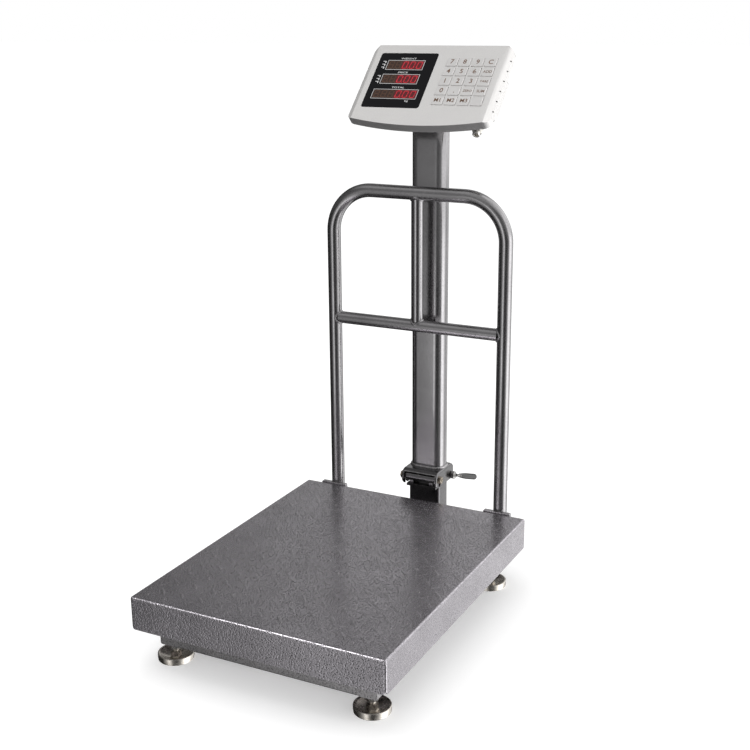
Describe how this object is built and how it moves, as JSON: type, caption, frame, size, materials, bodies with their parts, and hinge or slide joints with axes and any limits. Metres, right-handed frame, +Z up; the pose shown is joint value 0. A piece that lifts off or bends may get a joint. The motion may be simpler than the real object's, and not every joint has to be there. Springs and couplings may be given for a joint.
{
  "type": "platform shipping scale",
  "caption": "Folding-column platform scale: square-edged weighing pan on levelling feet, guard rail behind, tilting head with display and keypad.",
  "frame": {"origin": "on the floor, in the middle of the box around the whole object", "axes": "+Z up, +X to the right of someone facing the display, +Y to the back"},
  "size_m": [0.4, 0.6807, 0.8341],
  "materials": {
    "pan_paint": "hammered grey stove paint with a faint diamond tread",
    "tube_paint": "hammered dark grey, glossy",
    "frame_paint": "hammered dark grey",
    "nickel": "nickel plate, turned",
    "zinc": "bright zinc plate",
    "cell_aluminium": "machined",
    "pad_rubber": "matt",
    "head_plastic": "satin silver grey",
    "window_plastic": "smoked, polished",
    "digit_red": "red seven-segment blocks",
    "key_plastic": "satin light grey",
    "board_green": "solder resist",
    "battery_case": "moulded",
    "grip_plastic": "moulded black",
    "socket_metal": "plated"
  },
  "bodies": {
    "base": {"base_side_tubes": "frame_paint", "base_cross_tubes": "frame_paint", "base_spine": "frame_paint", "load_cell": "cell_aluminium", "load_cell_spacers": "zinc", "load_cell_bolts": "zinc", "weigh_beam": "frame_paint", "weigh_arms": "frame_paint", "pan_pads": "pad_rubber", "overload_stops": "zinc", "foot_lock_nuts": "zinc", "column_stub": "frame_paint", "rest_bar": "tube_paint", "rest_bar_bolt": "zinc", "hinge_bolt": "zinc"},
    "pan": {"platform_pan": "pan_paint", "rail_hoop": "tube_paint", "rail_crossbar": "tube_paint", "rail_centre_post": "tube_paint", "rail_foot_plates": "tube_paint", "rail_bolts": "zinc"},
    "column": {"clamp_collar": "frame_paint", "column_tube": "tube_paint", "head_bracket": "tube_paint", "tilt_bolt": "zinc"},
    "lever": {"lever_arm": "zinc", "lever_grip": "grip_plastic"},
    "head": {"head_front_shell": "head_plastic", "head_rear_shell": "head_plastic", "display_window": "window_plastic", "digit_modules": "digit_red", "circuit_board": "board_green", "battery": "battery_case", "signal_socket": "socket_metal", "head_screws": "zinc"},
    "switch": {"power_switch": "grip_plastic"},
    "levelling_foot_front_left": {"foot_front_left": "nickel"},
    "levelling_foot_front_right": {"foot_front_right": "nickel"},
    "levelling_foot_rear_left": {"foot_rear_left": "nickel"},
    "levelling_foot_rear_right": {"foot_rear_right": "nickel"},
    "key_7_cap": {"key_7": "key_plastic"},
    "key_8_cap": {"key_8": "key_plastic"},
    "key_9_cap": {"key_9": "key_plastic"},
    "key_price_cap": {"key_price": "key_plastic"},
    "key_4_cap": {"key_4": "key_plastic"},
    "key_5_cap": {"key_5": "key_plastic"},
    "key_6_cap": {"key_6": "key_plastic"},
    "key_add_cap": {"key_add": "key_plastic"},
    "key_1_cap": {"key_1": "key_plastic"},
    "key_2_cap": {"key_2": "key_plastic"},
    "key_3_cap": {"key_3": "key_plastic"},
    "key_tare_cap": {"key_tare": "key_plastic"},
    "key_0_cap": {"key_0": "key_plastic"},
    "key_point_cap": {"key_point": "key_plastic"},
    "key_zero_cap": {"key_zero": "key_plastic"},
    "key_function_cap": {"key_function": "key_plastic"},
    "key_m1_cap": {"key_m1": "key_plastic"},
    "key_m2_cap": {"key_m2": "key_plastic"},
    "key_m3_cap": {"key_m3": "key_plastic"},
    "key_clear_cap": {"key_clear": "key_plastic"}
  },
  "joints": [
    {"name": "column_fold", "type": "hinge", "parent": "base", "child": "column", "pos_m": [0, 0.24665, 0.123], "axis": [-1, 0, 0], "range_deg": [0, 90]},
    {"name": "clamp_lever_turn", "type": "hinge", "parent": "base", "child": "lever", "pos_m": [0.0371, 0.24665, 0.123], "axis": [1, 0, 0], "range_deg": [-25, 95]},
    {"name": "head_tilt", "type": "hinge", "parent": "column", "child": "head", "pos_m": [0, 0.24733, 0.72768], "axis": [1, 0, 0], "range_deg": [-30, 15]},
    {"name": "pan_lift_off", "type": "slide", "parent": "base", "child": "pan", "axis": [0, 0, 1], "range_m": [0, 0.055]},
    {"name": "power_switch_rock", "type": "hinge", "parent": "head", "child": "switch", "pos_m": [-0.07, 0.21339, 0.73122], "axis": [0, 0.7071, -0.7071], "range_deg": [0, 16]},
    {"name": "foot_front_left_height", "type": "slide", "parent": "base", "child": "levelling_foot_front_left", "axis": [0, 0, -1], "range_m": [-0.004, 0.008]},
    {"name": "foot_front_right_height", "type": "slide", "parent": "base", "child": "levelling_foot_front_right", "axis": [0, 0, -1], "range_m": [-0.004, 0.008]},
    {"name": "foot_rear_left_height", "type": "slide", "parent": "base", "child": "levelling_foot_rear_left", "axis": [0, 0, -1], "range_m": [-0.004, 0.008]},
    {"name": "foot_rear_right_height", "type": "slide", "parent": "base", "child": "levelling_foot_rear_right", "axis": [0, 0, -1], "range_m": [-0.004, 0.008]},
    {"name": "key_7_press", "type": "slide", "parent": "head", "child": "key_7_cap", "axis": [0, 0.7071, -0.7071], "range_m": [0, 0.0012], "stiffness_N_per_m": 400, "springref_m": -0.001},
    {"name": "key_8_press", "type": "slide", "parent": "head", "child": "key_8_cap", "axis": [0, 0.7071, -0.7071], "range_m": [0, 0.0012], "stiffness_N_per_m": 400, "springref_m": -0.001},
    {"name": "key_9_press", "type": "slide", "parent": "head", "child": "key_9_cap", "axis": [0, 0.7071, -0.7071], "range_m": [0, 0.0012], "stiffness_N_per_m": 400, "springref_m": -0.001},
    {"name": "key_price_press", "type": "slide", "parent": "head", "child": "key_price_cap", "axis": [0, 0.7071, -0.7071], "range_m": [0, 0.0012], "stiffness_N_per_m": 400, "springref_m": -0.001},
    {"name": "key_4_press", "type": "slide", "parent": "head", "child": "key_4_cap", "axis": [0, 0.7071, -0.7071], "range_m": [0, 0.0012], "stiffness_N_per_m": 400, "springref_m": -0.001},
    {"name": "key_5_press", "type": "slide", "parent": "head", "child": "key_5_cap", "axis": [0, 0.7071, -0.7071], "range_m": [0, 0.0012], "stiffness_N_per_m": 400, "springref_m": -0.001},
    {"name": "key_6_press", "type": "slide", "parent": "head", "child": "key_6_cap", "axis": [0, 0.7071, -0.7071], "range_m": [0, 0.0012], "stiffness_N_per_m": 400, "springref_m": -0.001},
    {"name": "key_add_press", "type": "slide", "parent": "head", "child": "key_add_cap", "axis": [0, 0.7071, -0.7071], "range_m": [0, 0.0012], "stiffness_N_per_m": 400, "springref_m": -0.001},
    {"name": "key_1_press", "type": "slide", "parent": "head", "child": "key_1_cap", "axis": [0, 0.7071, -0.7071], "range_m": [0, 0.0012], "stiffness_N_per_m": 400, "springref_m": -0.001},
    {"name": "key_2_press", "type": "slide", "parent": "head", "child": "key_2_cap", "axis": [0, 0.7071, -0.7071], "range_m": [0, 0.0012], "stiffness_N_per_m": 400, "springref_m": -0.001},
    {"name": "key_3_press", "type": "slide", "parent": "head", "child": "key_3_cap", "axis": [0, 0.7071, -0.7071], "range_m": [0, 0.0012], "stiffness_N_per_m": 400, "springref_m": -0.001},
    {"name": "key_tare_press", "type": "slide", "parent": "head", "child": "key_tare_cap", "axis": [0, 0.7071, -0.7071], "range_m": [0, 0.0012], "stiffness_N_per_m": 400, "springref_m": -0.001},
    {"name": "key_0_press", "type": "slide", "parent": "head", "child": "key_0_cap", "axis": [0, 0.7071, -0.7071], "range_m": [0, 0.0012], "stiffness_N_per_m": 400, "springref_m": -0.001},
    {"name": "key_point_press", "type": "slide", "parent": "head", "child": "key_point_cap", "axis": [0, 0.7071, -0.7071], "range_m": [0, 0.0012], "stiffness_N_per_m": 400, "springref_m": -0.001},
    {"name": "key_zero_press", "type": "slide", "parent": "head", "child": "key_zero_cap", "axis": [0, 0.7071, -0.7071], "range_m": [0, 0.0012], "stiffness_N_per_m": 400, "springref_m": -0.001},
    {"name": "key_function_press", "type": "slide", "parent": "head", "child": "key_function_cap", "axis": [0, 0.7071, -0.7071], "range_m": [0, 0.0012], "stiffness_N_per_m": 400, "springref_m": -0.001},
    {"name": "key_m1_press", "type": "slide", "parent": "head", "child": "key_m1_cap", "axis": [0, 0.7071, -0.7071], "range_m": [0, 0.0012], "stiffness_N_per_m": 400, "springref_m": -0.001},
    {"name": "key_m2_press", "type": "slide", "parent": "head", "child": "key_m2_cap", "axis": [0, 0.7071, -0.7071], "range_m": [0, 0.0012], "stiffness_N_per_m": 400, "springref_m": -0.001},
    {"name": "key_m3_press", "type": "slide", "parent": "head", "child": "key_m3_cap", "axis": [0, 0.7071, -0.7071], "range_m": [0, 0.0012], "stiffness_N_per_m": 400, "springref_m": -0.001},
    {"name": "key_clear_press", "type": "slide", "parent": "head", "child": "key_clear_cap", "axis": [0, 0.7071, -0.7071], "range_m": [0, 0.0012], "stiffness_N_per_m": 400, "springref_m": -0.001}
  ]
}
